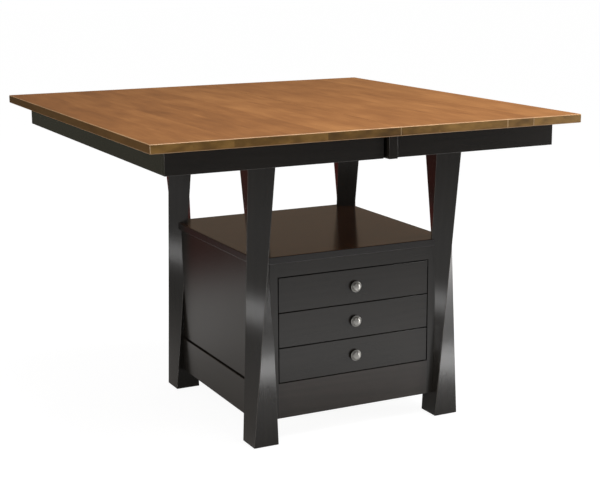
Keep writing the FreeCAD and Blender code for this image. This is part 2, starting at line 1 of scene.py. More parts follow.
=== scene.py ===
import json
import math
import random

import bmesh
import bpy
from mathutils import Matrix, Vector


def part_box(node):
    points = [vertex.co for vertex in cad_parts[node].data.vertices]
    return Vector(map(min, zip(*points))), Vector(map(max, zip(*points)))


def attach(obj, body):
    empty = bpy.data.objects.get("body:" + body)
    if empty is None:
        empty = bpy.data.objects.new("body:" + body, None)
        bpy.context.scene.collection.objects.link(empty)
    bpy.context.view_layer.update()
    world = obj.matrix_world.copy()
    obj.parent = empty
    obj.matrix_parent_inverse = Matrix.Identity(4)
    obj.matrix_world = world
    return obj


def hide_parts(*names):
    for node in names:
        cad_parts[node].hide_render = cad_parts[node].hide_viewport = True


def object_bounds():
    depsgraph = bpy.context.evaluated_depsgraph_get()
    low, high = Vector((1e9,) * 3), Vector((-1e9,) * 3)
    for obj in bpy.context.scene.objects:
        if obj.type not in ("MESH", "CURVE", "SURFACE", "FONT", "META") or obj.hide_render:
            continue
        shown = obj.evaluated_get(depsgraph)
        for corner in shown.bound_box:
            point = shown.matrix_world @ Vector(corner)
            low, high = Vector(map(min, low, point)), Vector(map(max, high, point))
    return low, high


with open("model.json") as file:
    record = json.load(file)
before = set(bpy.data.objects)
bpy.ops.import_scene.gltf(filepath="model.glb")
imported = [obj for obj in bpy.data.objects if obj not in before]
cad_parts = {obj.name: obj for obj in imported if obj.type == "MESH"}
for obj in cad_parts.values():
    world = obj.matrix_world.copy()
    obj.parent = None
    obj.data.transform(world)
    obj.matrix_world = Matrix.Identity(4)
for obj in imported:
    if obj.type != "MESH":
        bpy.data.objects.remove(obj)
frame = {"nodes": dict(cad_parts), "record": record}
cad_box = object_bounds()

MM = 0.001
WELD = 0.005 * MM
DRAWERS = ("bottom", "middle", "top")
HANDS = ("left", "right")
ENDS = ("front", "back")

record = frame["record"]
BODY = {node: body for body, nodes in record["behaviour"]["bodies"].items() for node in nodes}

# The camera stands in front of the table and to its left, higher than the top
EYE = Vector((-1.65009, -3.49989, 1.33564))
AZIMUTH, TILT, ROLL = 26.33, 12.50, -0.362    # degrees to the right, down, and leaning
PHOTO_WIDTH, FOCAL_PIXELS = 600, 1330.14
SENSOR = 36                                   # millimetres


def linear(code):
    """An sRGB hex colour as linear red, green, blue and alpha."""
    shares = [int(code[i:i + 2], 16) / 255 for i in (0, 2, 4)]
    return [s / 12.92 if s <= 0.04045 else ((s + 0.055) / 1.055) ** 2.4 for s in shares] + [1]


def add(owner, kind, wires=None, stops=None, **settings):
    """A shader node of a material or of the world.

    Wires holds values or other nodes' sockets, by input. Stops holds a colour ramp's places and colours.
    """
    tree = owner.node_tree
    made = tree.nodes.new(f"ShaderNode{kind}")
    for name, value in settings.items():
        setattr(made, name, value)
    for socket, value in (wires or {}).items():
        if isinstance(value, bpy.types.NodeSocket):
            tree.links.new(value, made.inputs[socket])
        else:
            made.inputs[socket].default_value = value
    if stops:
        ramp = made.color_ramp
        for element, (place, colour) in zip(ramp.elements, (stops[0], stops[-1])):
            element.position, element.color = place, colour
        for place, colour in stops[1:-1]:
            ramp.elements.new(place).color = colour
    return made


def bare_material(name):
    """A new material with nothing but its output."""
    material = bpy.data.materials.new(name)
    material.use_nodes = True
    material.node_tree.nodes.clear()
    return material, add(material, "OutputMaterial")


def lead(owner, shader, output):
    """Lead a shader to the output."""
    owner.node_tree.links.new(shader, output.inputs["Surface"])


# Turns that bring a board's grain onto the pattern's Y axis
GRAIN_TURNS = {"X": (0, 0, math.radians(90)), "Y": (0, 0, 0), "Z": (math.radians(90), 0, 0)}
# Scales are repeats per metre, here across, along and across the grain. Rings drift over some 110 mm
# across and 770 mm along, and pores are 0.7 mm wide and 33 mm long
DRIFT_SCALE = (9, 1.3, 9)
PORE_SCALE = (1400, 30, 1400)
NOISE_MIDDLE = (0.5, 0.5, 0.5)
ACROSS = (1, 0, 1)


def wood_figure(material, place, ring, wander, pith, cloud):
    """Growth rings round a pith that runs along Y, fine pores, and soft clouds, each from 0 to 1."""
    slow = add(material, "Mapping", {"Vector": place, "Scale": DRIFT_SCALE})
    drift = add(material, "TexNoise", {"Vector": slow.outputs[0], "Scale": 1.0, "Detail": 4.0})
    swing = add(material, "VectorMath", {0: drift.outputs["Color"], 1: NOISE_MIDDLE}, operation="SUBTRACT")
    swung = add(material, "VectorMath", {0: swing.outputs[0], "Scale": wander}, operation="SCALE")
    bent = add(material, "VectorMath", {0: place, 1: swung.outputs[0]}, operation="ADD")
    apart = add(material, "VectorMath", {0: bent.outputs[0], 1: pith}, operation="SUBTRACT")
    across = add(material, "VectorMath", {0: apart.outputs[0], 1: ACROSS}, operation="MULTIPLY")
    radius = add(material, "VectorMath", {0: across.outputs[0]}, operation="LENGTH")
    turns = add(material, "Math", {0: radius.outputs["Value"], 1: ring}, operation="DIVIDE")
    rings = add(material, "Math", {0: turns.outputs[0], 1: 1.0}, operation="PINGPONG")
    fine = add(material, "Mapping", {"Vector": place, "Scale": PORE_SCALE})
    pores = add(material, "TexNoise", {"Vector": fine.outputs[0], "Scale": 1.0, "Detail": 2.0})
    wide, long = cloud
    patch = add(material, "Mapping", {"Vector": place, "Scale": (1 / wide, 1 / long, 1 / wide)})
    clouds = add(material, "TexNoise", {"Vector": patch.outputs[0], "Scale": 1.0, "Detail": 5.0})
    return rings.outputs[0], pores.outputs["Fac"], clouds.outputs["Fac"]


def blend(material, shares):
    """A sum of sockets, each times its share."""
    total = 0.0
    for socket, share in shares:
        total = add(material, "Math", {0: socket, 1: share, 2: total}, operation="MULTIPLY_ADD").outputs[0]
    return total


def facing_shares(material):
    """How squarely each face looks along X, Y and Z, either way, from 0 to 1."""
    lie = add(material, "NewGeometry")
    size = add(material, "VectorMath", {0: lie.outputs["Normal"]}, operation="ABSOLUTE")
    return add(material, "SeparateXYZ", {0: size.outputs[0]}).outputs


LEVEL_FADE = 0.2


def by_level(material, facing, level_from, upright, flat):
    """One colour on upright faces and another on flat ones. The change starts at level_from."""
    level = add(material, "MapRange", {"Value": facing["Z"], "From Min": level_from,
                                       "From Max": level_from + LEVEL_FADE})
    mix = add(material, "Mix", {"Factor": level.outputs[0], "A": upright, "B": flat}, data_type="RGBA")
    return mix.outputs["Result"]


# The range that noise seldom leaves, over which it changes a colour
NOISE_LOW, NOISE_HIGH = 0.3, 0.7
BOARD_WANDER = 0.09                   # metres that a board's rings drift
BOARD_PITH = (0.13, 0, -0.21)
BOARD_CLOUD = (0.045, 0.2)            # metres across and along the grain
FLAT_FROM, UPRIGHT_ROUGH = 0.7, 0.28
PORE_STRENGTH, PORE_DEPTH, TOP_PORE_DEPTH = 0.05, 0.12 * MM, 0.1 * MM
LACQUER_IOR = 1.5


def satin_wood(name, along, dark, light, painted_gleam, ring, rough, shares, upright=None):
    """Wood under satin lacquer, its grain along one axis, with a painted highlight along its arrises."""
    material, output = bare_material(f"{name}_{along.lower()}")
    spot = add(material, "TexCoord")
    turned = add(material, "Mapping", {"Vector": spot.outputs["Object"], "Rotation": GRAIN_TURNS[along]})
    rings, pores, clouds = wood_figure(material, turned.outputs[0], ring, BOARD_WANDER, BOARD_PITH,
                                       BOARD_CLOUD)
    figure = blend(material, zip((rings, pores, clouds), shares))
    colour = add(material, "ValToRGB", {"Fac": figure},
                 [(NOISE_LOW, linear(dark)), (NOISE_HIGH, linear(light))]).outputs[0]
    if upright:
        facing = facing_shares(material)
        colour = by_level(material, facing, FLAT_FROM, linear(upright), colour)
        rough = add(material, "MapRange", {"Value": facing["Z"], "To Min": UPRIGHT_ROUGH,
                                           "To Max": rough}).outputs[0]
    # Painted highlight: the arrises are mixed towards a lighter colour, in patches, as if they caught the
    # light
    arris = add(material, "Attribute", attribute_name="arris")
    mark_strength = add(material, "Math", {0: arris.outputs["Fac"], 1: clouds}, operation="MULTIPLY")
    mix = add(material, "Mix", {"Factor": mark_strength.outputs[0], "A": colour, "B": linear(painted_gleam)},
              data_type="RGBA")
    grain = add(material, "Bump", {"Height": pores, "Strength": PORE_STRENGTH, "Distance": PORE_DEPTH})
    surface = add(material, "BsdfPrincipled", {
        "Base Color": mix.outputs["Result"], "Roughness": rough, "IOR": LACQUER_IOR,
        "Normal": grain.outputs[0]})
    lead(material, surface.outputs[0], output)
    return material


# Brown maple under a near-black espresso stain and satin lacquer: the grain barely shows, and what
# the eye sees is mostly the soft sheen of the lacquer
def espresso(along):
    return satin_wood("espresso_maple", along, "221F1B", "2A2622", "544C44", ring=11 * MM, rough=0.25,
                      shares=(0.1, 0.3, 0.6))


# The same stain, painted a little lighter and browner: a painted reflection of the bright floor just in front
# of the low rail
def espresso_painted_reflection():
    return satin_wood("espresso_maple_painted_reflection", "X", "302B27", "3C3530", "544C44", ring=11 * MM, rough=0.25,
                      shares=(0.1, 0.3, 0.6))


# The same stain on the cabinet's top, wiped thinner and rubbed out to a higher gloss. Its flat face is a
# lighter brown: partly the maple showing through the thinner stain, and partly a painted warm sheen where the
# light glances off it. Only the edges are as dark as the rest
def polished_espresso():
    return satin_wood("espresso_maple_polished", "X", "5A3E2C", "6C4C36", "6A5A4C", ring=11 * MM, rough=0.15,
                      shares=(0.2, 0.3, 0.5), upright="231F1D")


# Hard maple under clear lacquer: pale, with faint rings
def natural_maple(along):
    return satin_wood("natural_maple", along, "C79F6C", "E2C596", "E2C596", ring=6 * MM, rough=0.42,
                      shares=(0.35, 0.25, 0.4))


# Birch plywood: pale faces with a broad figure
def birch_plywood():
    return satin_wood("birch_plywood", "Y", "CDAE7E", "E6CDA0", "E6CDA0", ring=22 * MM, rough=0.45,
                      shares=(0.3, 0.2, 0.5))


# The top's right end and its seam, in millimetres from its middle
TOP_END = round(cad_box[1][0] / MM)
SEAM = 53
# Where each plank starts, in the same way, and how light its face and its end grain are. Face tones differ
# from plank to plank, and the two planks at the right end are lifted a little further, a painted sheen
PLANKS = ((-TOP_END, 0.36, 0.6), (-512, 0.5, 0.45), (-405, 0.34, 0.3), (-298, 0.42, 0.4), (-156, 0.7, 0.1),
          (-52, 0.54, 0.05), (SEAM, 0.6, 0.35), (163, 0.5, 0.7), (270, 0.6, 0.6), (376, 0.6, 0.5),
          (459, 0.8, 0.8))
# The seam and two glue joints show as light lines on the end grain
LIGHT_JOINTS = (SEAM, 376, 459)
LINE_REACH = 1.1 * MM
# The pith of the tree lies about this far from a plank's start, give or take the spread, in millimetres
PITH_FROM_START, PITH_SPREAD, PITH_SEED = 55, 60, 11
PITH_LOW, PITH_HIGH = 0.70, 0.86      # metres over the floor
PLANK_SHIFT = 9.0                     # metres that the figure slides along a plank, times its end tone
TOP_RING, TOP_WANDER, TOP_CLOUD = 13 * MM, 0.12, (0.055, 0.2)
# Flecks are 9 mm wide and 100 mm long. Blotches are 45 mm wide, 110 mm deep and 22 mm high
FLECK_SCALE, BLOTCH_SCALE = (110, 10, 110), (22, 9, 45)
# How much of the end grain's figure the even brown of the long sides covers: a darker brown, painted shade on
# these sides
LONG_SIDE_SHADE = 0.75
TOP_FLAT_FROM = 0.1
# The largest share of a face's direction, on a flat face and in the middle of an arris
SQUARE_ON, SLANTED = 0.98, 0.88
# How strong the top's painted highlight and joint lines are: the least, and the share that follows the clouds
LEAST_MARK, CLOUD_MARK = 0.2, 0.9


def plank_stops():
    """For each plank: where it starts across the top, and its pith, face tone and end tone."""
    draw = random.Random(PITH_SEED)
    stops = []
    for start, face, end in PLANKS:
        pith = (start + PITH_FROM_START + draw.uniform(-PITH_SPREAD, PITH_SPREAD) + TOP_END) / (2 * TOP_END)
        stops.append(((start + TOP_END) / (2 * TOP_END), (min(max(pith, 0), 1), face, end, 1)))
    return stops


def plank_figure(material, spot, across):
    """Each plank's face tone and end tone, its place in the pattern, and its rings, pores and clouds."""
    share = add(material, "MapRange", {"Value": across, "From Min": -TOP_END * MM, "From Max": TOP_END * MM})
    planks = add(material, "ValToRGB", {"Fac": share.outputs[0]}, plank_stops())
    planks.color_ramp.interpolation = "CONSTANT"
    own = add(material, "SeparateColor", {0: planks.outputs[0]}).outputs
    pith_x = add(material, "MapRange", {"Value": own["Red"], "To Min": -TOP_END * MM, "To Max": TOP_END * MM})
    pith_z = add(material, "MapRange", {"Value": own["Blue"], "To Min": PITH_LOW, "To Max": PITH_HIGH})
    pith = add(material, "CombineXYZ", {"X": pith_x.outputs[0], "Z": pith_z.outputs[0]})
    shift = add(material, "CombineXYZ", {"Y": own["Blue"]})
    moved = add(material, "VectorMath", {0: shift.outputs[0], "Scale": PLANK_SHIFT}, operation="SCALE")
    place = add(material, "VectorMath", {0: spot, 1: moved.outputs[0]}, operation="ADD").outputs[0]
    figure = wood_figure(material, place, TOP_RING, TOP_WANDER, pith.outputs[0], TOP_CLOUD)
    return own["Green"], own["Blue"], place, figure


def top_face(material, tone, place, figure):
    """The warm brown of the top's faces, lighter or darker by plank, with streaky flecks."""
    rings, pores, clouds = figure
    fleck = add(material, "Mapping", {"Vector": place, "Scale": FLECK_SCALE})
    flecks = add(material, "TexNoise", {"Vector": fleck.outputs[0], "Scale": 1.0, "Detail": 3.0})
    shade = blend(material, ((tone, 0.4), (rings, 0.03), (pores, 0.1), (clouds, 0.6),
                             (flecks.outputs["Fac"], 0.3)))
    return add(material, "ValToRGB", {"Fac": shade}, [
        (0.45, linear("87552C")), (0.7, linear("A06838")), (0.95, linear("B97E48"))]).outputs[0]


def top_edge(material, tone, place, pores, facing):
    """The blotchy end grain of the top's front and back, and the even, darker brown of its long sides, which
    is painted shade.
    """
    blotch = add(material, "Mapping", {"Vector": place, "Scale": BLOTCH_SCALE})
    blotches = add(material, "TexNoise", {"Vector": blotch.outputs[0], "Scale": 1.0, "Detail": 2.0})
    patches = blend(material, ((tone, 0.4), (blotches.outputs["Fac"], 0.8), (pores, 0.2)))
    ends = add(material, "ValToRGB", {"Fac": patches}, [
        (0.3, linear("4A3418")), (0.6, linear("735427")), (0.95, linear("A27B41"))])
    # The long sides take an even darker brown: painted shade
    sideways = add(material, "Math", {0: facing["X"], 1: 2.0}, operation="POWER")
    long_side_shade = add(material, "Math", {0: sideways.outputs[0], 1: LONG_SIDE_SHADE}, operation="MULTIPLY")
    edges = add(material, "Mix", {"Factor": long_side_shade.outputs[0], "A": ends.outputs[0],
                                  "B": linear("5C3A16")}, data_type="RGBA")
    return edges.outputs["Result"]


def top_gleam_and_lines(material, across, clouds, facing):
    """Where the top gets lighter: a painted highlight along its arrises, and light lines at the joints of its
    end grain.
    """
    widest = add(material, "Math", {0: facing["X"], 1: facing["Y"]}, operation="MAXIMUM")
    widest = add(material, "Math", {0: widest.outputs[0], 1: facing["Z"]}, operation="MAXIMUM")
    arris = add(material, "MapRange", {"Value": widest.outputs[0], "From Min": SQUARE_ON,
                                       "From Max": SLANTED})
    lines = 0.0
    for joint in LIGHT_JOINTS:
        line = add(material, "Math", {0: across, 1: joint * MM, 2: LINE_REACH}, operation="COMPARE")
        lines = add(material, "Math", {0: line.outputs[0], 1: facing["Y"], 2: lines},
                    operation="MULTIPLY_ADD").outputs[0]
    gleam_and_lines = add(material, "Math", {0: arris.outputs[0], 1: lines}, operation="MAXIMUM")
    mark_strength = add(material, "Math", {0: clouds, 1: CLOUD_MARK, 2: LEAST_MARK}, operation="MULTIPLY_ADD")
    return add(material, "Math", {0: gleam_and_lines.outputs[0], 1: mark_strength.outputs[0]}, operation="MULTIPLY").outputs[0]


# Brown maple under a warm brown stain and satin lacquer, glued up from planks whose tones differ a little.
# The edges look darker and greener: the end grain drank more stain, and the long sides carry painted shade.
# The arrises carry a painted highlight
def top_maple():
    material, output = bare_material("top_maple_planks")
    spot = add(material, "TexCoord").outputs["Object"]
    across = add(material, "SeparateXYZ", {0: spot}).outputs["X"]
    face_tone, end_tone, place, figure = plank_figure(material, spot, across)
    pores, clouds = figure[1:]
    facing = facing_shares(material)
    face = top_face(material, face_tone, place, figure)
    edge = top_edge(material, end_tone, place, pores, facing)
    stained = by_level(material, facing, TOP_FLAT_FROM, edge, face)
    # A painted highlight on the arrises, and the light joint lines, in a raw wood colour
    painted_gleam = add(material, "Mix", {"Factor": top_gleam_and_lines(material, across, clouds, facing), "A": stained,
                                   "B": linear("E6C296")}, data_type="RGBA")
    grain = add(material, "Bump", {"Height": pores, "Strength": PORE_STRENGTH, "Distance": TOP_PORE_DEPTH})
    surface = add(material, "BsdfPrincipled", {
        "Base Color": painted_gleam.outputs["Result"], "Roughness": 0.4, "IOR": LACQUER_IOR,
        "Specular IOR Level": 0.35, "Normal": grain.outputs[0]})
    lead(material, surface.outputs[0], output)
    return material


# Brush strokes 17 mm long and 0.4 mm apart, crystals of zinc 3 mm wide, and grime in 11 mm clouds
STROKE_SCALE, SPANGLE_SCALE, GRIME_SCALE = (60, 60, 2400), 300.0, 90.0


# Nickel plate brushed from side to side: a soft gleam, drawn out upright across the strokes
def satin_nickel():
    material, output = bare_material("satin_nickel")
    spot = add(material, "TexCoord")
    strokes = add(material, "Mapping", {"Vector": spot.outputs["Object"], "Scale": STROKE_SCALE})
    fine = add(material, "TexNoise", {"Vector": strokes.outputs[0], "Scale": 1.0, "Detail": 2.0})
    rough = add(material, "MapRange", {"Value": fine.outputs["Fac"], "To Min": 0.3, "To Max": 0.36})
    upright = add(material, "CombineXYZ", {"Z": 1.0})
    surface = add(material, "BsdfPrincipled", {
        "Base Color": linear("A8A6A1"), "Metallic": 1.0, "Roughness": rough.outputs[0], "Anisotropic": 0.95,
        "Tangent": upright.outputs[0]})
    lead(material, surface.outputs[0], output)
    return material


# Steel sheet with a dull zinc plating
def zinc_steel():
    material, output = bare_material("zinc_steel")
    spot = add(material, "TexCoord")
    spangle = add(material, "TexNoise", {"Vector": spot.outputs["Object"], "Scale": SPANGLE_SCALE,
                                         "Detail": 3.0})
    colour = add(material, "ValToRGB", {"Fac": spangle.outputs["Fac"]},
                 [(NOISE_LOW, linear("9A9C9E")), (NOISE_HIGH, linear("B4B6B8"))])
    surface = add(material, "BsdfPrincipled", {
        "Base Color": colour.outputs[0], "Metallic": 1.0, "Roughness": 0.38})
    lead(material, surface.outputs[0], output)
    return material


# Moulded nylon: dull, with a trace of grime
def glide_nylon():
    material, output = bare_material("glide_nylon")
    spot = add(material, "TexCoord")
    grime = add(material, "TexNoise", {"Vector": spot.outputs["Object"], "Scale": GRIME_SCALE, "Detail": 4.0})
    colour = add(material, "ValToRGB", {"Fac": grime.outputs["Fac"]},
                 [(NOISE_LOW, linear("2C2926")), (NOISE_HIGH, linear("3D3935"))])
    surface = add(material, "BsdfPrincipled", {"Base Color": colour.outputs[0], "Roughness": 0.6})
    lead(material, surface.outputs[0], output)
    return material


def finish(piece, node, material):
    """The piece stands for a CAD node, rides on its body and takes its finish."""
    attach(piece, BODY[node])
    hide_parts(node)
    piece.data.materials.clear()
    piece.data.materials.append(material)
    return piece


def made(shape, name):
    """A piece from a finished bmesh."""
    data = bpy.data.meshes.new(name)
    shape.to_mesh(data)
    shape.free()
    piece = bpy.data.objects.new(name, data)
    bpy.context.scene.collection.objects.link(piece)
    return piece


def even_normals(piece):
    """Wide faces keep their own direction, and only the narrow arrises between them look round."""
    for face in piece.data.polygons:
        face.use_smooth = True
    weigh = piece.modifiers.new("wide_faces_first", "WEIGHTED_NORMAL")
    weigh.weight = 100
    return piece


# How strong the painted highlight on an arris is, from 0 to 1
ARRIS_GLEAM = 0.6
ARRIS_STEPS = 3


def ease(shape, edges, radius, gleam):
    """Rounds edges, and marks how strong the painted highlight is on the new arrises."""
    mark = shape.faces.layers.float["arris"]
    rounded = bmesh.ops.bevel(shape, geom=edges, offset=radius, offset_type="OFFSET", segments=ARRIS_STEPS,
                              profile=0.5, affect="EDGES", material=-1, clamp_overlap=True)
    for face in rounded["faces"]:
        face.smooth = True
        face[mark] = gleam


BOARD_ARRIS, RAIL_ARRIS = 1 * MM, 1.5 * MM
BLOCK_ARRIS, FRONT_ARRIS = 0.7 * MM, 0.5 * MM
SAME_PLANE, SHARP_EDGE = math.radians(0.5), math.radians(60)
LONG_EDGE = 20 * MM


def eased(node, material, radius, gleam=ARRIS_GLEAM):
    """A copy of a CAD piece whose long outer edges are rounded a little."""
    shape = bmesh.new()
    shape.from_mesh(frame["nodes"][node].data)
    bmesh.ops.remove_doubles(shape, verts=shape.verts, dist=WELD)
    bmesh.ops.dissolve_limit(shape, angle_limit=SAME_PLANE, verts=shape.verts, edges=shape.edges)
    shape.faces.layers.float.new("arris")
    edges = [edge for edge in shape.edges if len(edge.link_faces) == 2
             and edge.calc_face_angle_signed(0) > SHARP_EDGE and edge.calc_length() > LONG_EDGE]
    ease(shape, edges, radius, gleam)
    return finish(made(shape, f"{node}_eased"), node, material)


# A leg's section at the floor and at the height where its quarter turn would end
LEG_FOOT, LEG_HEAD, LEG_TWIST_TOP = 76 * MM, 87 * MM, 890.5 * MM
LEG_RINGS = 56
LEG_ARRIS, LEG_CORNER = 1.6 * MM, math.radians(50)


def leg_section(centre, z):
    """What brings a unit square's corners to the leg's section at a height."""
    foot = LEG_FOOT * (1 - z / LEG_TWIST_TOP)
    head = LEG_HEAD * z / LEG_TWIST_TOP
    turn = Matrix.Rotation(math.radians(45) + math.atan2(head, foot), 4, "Z")
    return (Matrix.Translation((centre.x, centre.y, z)) @ turn
            @ Matrix.Scale(math.hypot(foot, head) / math.sqrt(2), 4))


def twisted_leg(node, material):
    """A square that turns a quarter of a circle as it rises, with four eased arrises."""
    low, high = (Vector(corner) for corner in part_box(node))
    centre = (low + high) / 2
    shape = bmesh.new()
    ring = bmesh.ops.create_circle(shape, cap_ends=False, radius=1, segments=4)["verts"]
    edges = list(shape.edges)
    last = Matrix.Identity(4)
    for step in range(LEG_RINGS + 1):
        z = low.z + (high.z - low.z) * step / LEG_RINGS
        if step:
            grown = bmesh.ops.extrude_edge_only(shape, edges=edges)["geom"]
            ring = [item for item in grown if isinstance(item, bmesh.types.BMVert)]
            edges = [item for item in grown if isinstance(item, bmesh.types.BMEdge)]
        here = leg_section(centre, z)
        bmesh.ops.transform(shape, matrix=here @ last.inverted(), verts=ring)
        last = here
    bmesh.ops.holes_fill(shape, edges=[edge for edge in shape.edges if edge.is_boundary], sides=4)
    bmesh.ops.recalc_face_normals(shape, faces=shape.faces)
    shape.faces.layers.float.new("arris")
    ease(shape, [edge for edge in shape.edges if edge.calc_face_angle(0) > LEG_CORNER], LEG_ARRIS, ARRIS_GLEAM)
    return even_normals(finish(made(shape, f"{node}_turned"), node, material))


# A knob's sizes, in millimetres, and the degrees from its axis that the dome on its face spans
KNOB_OUT = 17
NECK_RADIUS, NECK_FLARE = 6, 2.2
NECK_LOW, NECK_HEIGHT, NECK_STEPS = 1.6, 3.8, 8
DOME_RADIUS, DOME_SPAN, DOME_STEP = 18.5, 33, 3
KNOB_STEPS = 64
KNOB_CREASE = math.radians(40)


def knob_profile():
    """Half of a turned knob's section, as radius and height above the drawer, in millimetres."""
    foot = [(0, 0), (8.7, 0), (9, 0.3), (9, 1.2), (8.7, 1.5)]
    neck = [(NECK_RADIUS + NECK_FLARE * (1 - math.sin(t)), NECK_LOW + NECK_HEIGHT * t / math.pi) for t in
            (math.pi * k / NECK_STEPS for k in range(NECK_STEPS + 1))]
    under = [(9.5, 5.5), (14.6, 5.5)]
    rim = [(15.2, 5.6), (15.8, 6.1), (16, 7), (15.8, 8.2), (15.2, 9), (14.4, 9.3), (13.6, 9.1), (13.1, 8.4)]
    groove = [(12.8, 7.6), (12.3, 7.6)]
    wall = [(11.9, 8.2), (11.9, 10.5), (11.7, 12), (11.2, 13)]
    dome = [(DOME_RADIUS * math.sin(t), KNOB_OUT - DOME_RADIUS * (1 - math.cos(t))) for t in
            (math.radians(a) for a in range(DOME_SPAN, -1, -DOME_STEP))]
    return foot + neck + under + rim + groove + wall + dome


def turned_knob(node, material):
    """A knob spun from its half section round the line out from the drawer."""
    low, high = (Vector(corner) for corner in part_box(node))
    shape = bmesh.new()
    points = [shape.verts.new((r * MM, 0, h * MM)) for r, h in knob_profile()]
    line = [shape.edges.new(pair) for pair in zip(points, points[1:])]
    bmesh.ops.spin(shape, geom=points + line, cent=(0, 0, 0), axis=(0, 0, 1), angle=math.tau,
                   steps=KNOB_STEPS, use_merge=True)
    bmesh.ops.remove_doubles(shape, verts=shape.verts, dist=WELD)
    bmesh.ops.recalc_face_normals(shape, faces=shape.faces)
    outward = Matrix.Rotation(math.radians(90), 4, "X")
    foot = Vector(((low.x + high.x) / 2, high.y, (low.z + high.z) / 2))
    bmesh.ops.transform(shape, matrix=Matrix.Translation(foot) @ outward, verts=shape.verts)
    for face in shape.faces:
        face.smooth = True
    for edge in shape.edges:
        edge.smooth = edge.calc_face_angle(0) < KNOB_CREASE
    return finish(made(shape, f"{node}_turned"), node, material)


def strip(name, low, high, radius, material):
    """A thin strip of wood, glued to a piece of the right half to keep light out of a gap.

    It rides on the right half.
    """
    shape = bmesh.new()
    bmesh.ops.create_cube(shape, size=1)
    size = [abs(b - a) for a, b in zip(low, high)]
    bmesh.ops.transform(shape, matrix=Matrix.Translation((low + high) / 2) @ Matrix.Diagonal((*size, 1)),
                        verts=shape.verts)
    bmesh.ops.bevel(shape, geom=shape.edges[:], offset=radius, offset_type="OFFSET", segments=2, profile=0.5,
                    affect="EDGES", material=-1, clamp_overlap=True)
    piece = made(shape, name)
    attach(piece, "right_half")
    piece.data.materials.append(material)


LATH_LAP, LATH_SHORT = 12 * MM, 1 * MM
LATH_THICKNESS, LATH_ARRIS = 3 * MM, 0.4 * MM


def seam_lath(end, material):
    """A lath behind a seam block, which closes the gap beside it."""
    block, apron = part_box(f"seam_block_{end}"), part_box(f"apron_{end}_left")
    inner, inward = (block[1][1], 1) if end == "front" else (block[0][1], -1)
    low = Vector((apron[1][0] - LATH_LAP, inner, apron[0][2] + LATH_SHORT))
    high = Vector((block[1][0], inner + inward * LATH_THICKNESS, apron[1][2]))
    strip(f"seam_lath_{end}", low, high, LATH_ARRIS, material)


VENEER_CLEAR, VENEER_SHORT, VENEER_ARRIS = 0.1 * MM, 2 * MM, 0.1 * MM


def seam_shade_strip(material):
    """A dark strip on the right half's inner edge, which all but fills the seam: a dark sheet that stands in
    for the shade deep in the seam.
    """
    left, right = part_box("top_left"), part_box("top_right")
    low = Vector((left[1][0] + VENEER_CLEAR, left[0][1] + VENEER_SHORT, left[0][2] + VENEER_SHORT))
    high = Vector((right[0][0], left[1][1] - VENEER_SHORT, left[1][2] - VENEER_SHORT))
    strip("seam_shade_strip", low, high, VENEER_ARRIS, material)


def paint(node, material):
    """A CAD piece whose shape is right takes its finish."""
    data = frame["nodes"][node].data
    data.materials.clear()
    data.materials.append(material)


def seen_rays(owner):
    """Light Path's camera and see-through rays, and its glossy rays."""
    path = add(owner, "LightPath")
    seen = add(owner, "Math", {0: path.outputs["Is Camera Ray"], 1: path.outputs["Is Transmission Ray"]},
               operation="MAXIMUM")
    return seen.outputs[0], path.outputs["Is Glossy Ray"]


FLOOR_SIZE = 60
FLOOR_GLOW, FLOOR_POLISH = 0.93, 0.4
# The middle of the base, and the way that the floor grows brighter: to the front and right, as the
# lamps stand
BASE_MIDDLE = (0.104, 0, 0)
BRIGHT_WAY = (0.8, -0.6, 0)
# How the floor changes in reflections: from where to where, in metres, and between which levels
FAR_OFF = {"From Min": 1.0, "From Max": 3.8, "To Min": 0.9, "To Max": 0.0}
CLOSE_BY = {"From Min": 0.35, "From Max": 1.0, "To Min": 0.2, "To Max": 1.0}
LAMP_SIDE = {"From Min": -1.2, "From Max": 0.8, "To Min": 0.15, "To Max": 1.0}
BEHIND = {"From Min": 0.5, "From Max": 1.1, "To Max": 0.25}
FAR_BACK = {"From Min": 1.3, "From Max": 1.9}
FAR_LEFT = {"From Min": -1.4, "From Max": -2.0}


def floor_in_reflections(material):
    """What the floor glows with in reflections, and the share of its far back part.

    It is dark under the table and dim far away, brighter towards the lamps, and a little lighter
    behind the table. Its far back is dull red, and greyish green on the left.
    """
    spot = add(material, "TexCoord").outputs["Object"]
    away = add(material, "VectorMath", {0: spot, 1: BASE_MIDDLE}, operation="DISTANCE").outputs["Value"]
    dim = add(material, "MapRange", {"Value": away, **FAR_OFF})
    # The glow is dimmer close to the base: a painted shadow of the table, seen in reflections
    near = add(material, "MapRange", {"Value": away, **CLOSE_BY})
    side = add(material, "VectorMath", {0: spot, 1: BRIGHT_WAY}, operation="DOT_PRODUCT")
    bright = add(material, "MapRange", {"Value": side.outputs["Value"], **LAMP_SIDE})
    ring = add(material, "Math", {0: dim.outputs[0], 1: near.outputs[0]}, operation="MULTIPLY")
    spread = add(material, "Math", {0: ring.outputs[0], 1: bright.outputs[0]}, operation="MULTIPLY")
    parts = add(material, "SeparateXYZ", {0: spot}).outputs
    behind = add(material, "MapRange", {"Value": parts["Y"], **BEHIND})
    lifted = add(material, "Math", {0: spread.outputs[0], 1: behind.outputs[0]}, operation="ADD")
    back = add(material, "MapRange", {"Value": parts["Y"], **FAR_BACK})
    aside = add(material, "MapRange", {"Value": parts["X"], **FAR_LEFT})
    dusk = add(material, "Mix", {"Factor": aside.outputs[0], "A": linear("5C2624"), "B": linear("646A5C")},
               data_type="RGBA")
    mirrored = add(material, "Mix", {"Factor": back.outputs[0], "A": lifted.outputs[0],
                                     "B": dusk.outputs["Result"]}, data_type="RGBA")
    return mirrored.outputs["Result"], back.outputs[0]


